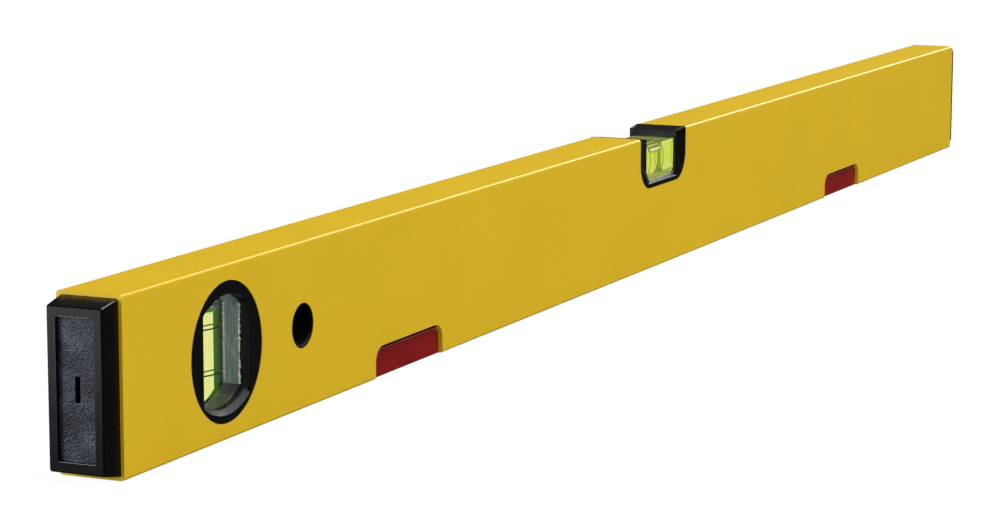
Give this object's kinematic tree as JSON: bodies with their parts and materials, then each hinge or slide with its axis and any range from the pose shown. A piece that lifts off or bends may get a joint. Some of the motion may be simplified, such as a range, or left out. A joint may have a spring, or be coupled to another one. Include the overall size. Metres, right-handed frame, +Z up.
{
  "type": "magnetic spirit level",
  "caption": "Box-section magnetic spirit level with a horizontal vial in a top notch, a round plumb vial, a hanging hole, magnet holders in the measuring edge and end caps.",
  "frame": {"origin": "middle of the measuring face, on the surface that it stands on", "axes": "+X along the level away from the plumb vial, +Y across it to the rear, +Z up, away from the measuring face"},
  "size_m": [0.8, 0.02, 0.05],
  "materials": {
    "profile_coating": "smooth semi-gloss yellow powder coat on aluminium",
    "cap_plastic": "black moulded plastic with a satin rim and a grained field",
    "housing_plastic": "black moulded plastic, satin gloss",
    "vial_acrylic": "clear polished acrylic",
    "vial_fluid": "clear yellow-green fluid",
    "air_bubble": "air in fluid",
    "reading_ring": "thin black ring",
    "casting_resin": "grey casting resin",
    "holder_plastic": "red moulded plastic",
    "magnet_nickel": "nickel-plated magnet",
    "pole_steel": "bare steel"
  },
  "bodies": {
    "level": {"box_profile": "profile_coating", "end_cap_left": "cap_plastic", "end_cap_right": "cap_plastic", "horizontal_vial_housing": "housing_plastic", "horizontal_vial_block": "vial_acrylic", "horizontal_vial_plug": "vial_acrylic", "horizontal_vial_rings": "reading_ring", "horizontal_vial_fluid": "vial_fluid", "horizontal_vial_resin_bed": "casting_resin", "vertical_vial_housing_front": "housing_plastic", "vertical_vial_housing_rear": "housing_plastic", "vertical_vial_block": "vial_acrylic", "vertical_vial_plug": "vial_acrylic", "vertical_vial_rings": "reading_ring", "vertical_vial_fluid": "vial_fluid", "vertical_vial_resin": "casting_resin", "hanging_hole_bush": "housing_plastic", "magnet_holder_left": "holder_plastic", "magnet_holder_right": "holder_plastic", "magnets_left": "magnet_nickel", "magnets_right": "magnet_nickel", "pole_plates_left": "pole_steel", "pole_plates_right": "pole_steel"},
    "level_bubble": {"horizontal_vial_bubble": "air_bubble"},
    "plumb_bubble": {"vertical_vial_bubble": "air_bubble"}
  },
  "joints": [
    {"name": "level_bubble_slide", "type": "slide", "parent": "level", "child": "level_bubble", "axis": [1, 0, 0], "range_m": [-0.0075, 0.0075], "stiffness_N_per_m": 2, "deforming": ["horizontal_vial_fluid"]},
    {"name": "plumb_bubble_slide", "type": "slide", "parent": "level", "child": "plumb_bubble", "axis": [0, 0, 1], "range_m": [-0.024, 0], "stiffness_N_per_m": 2, "springref_m": 0.02, "deforming": ["vertical_vial_fluid"]}
  ]
}
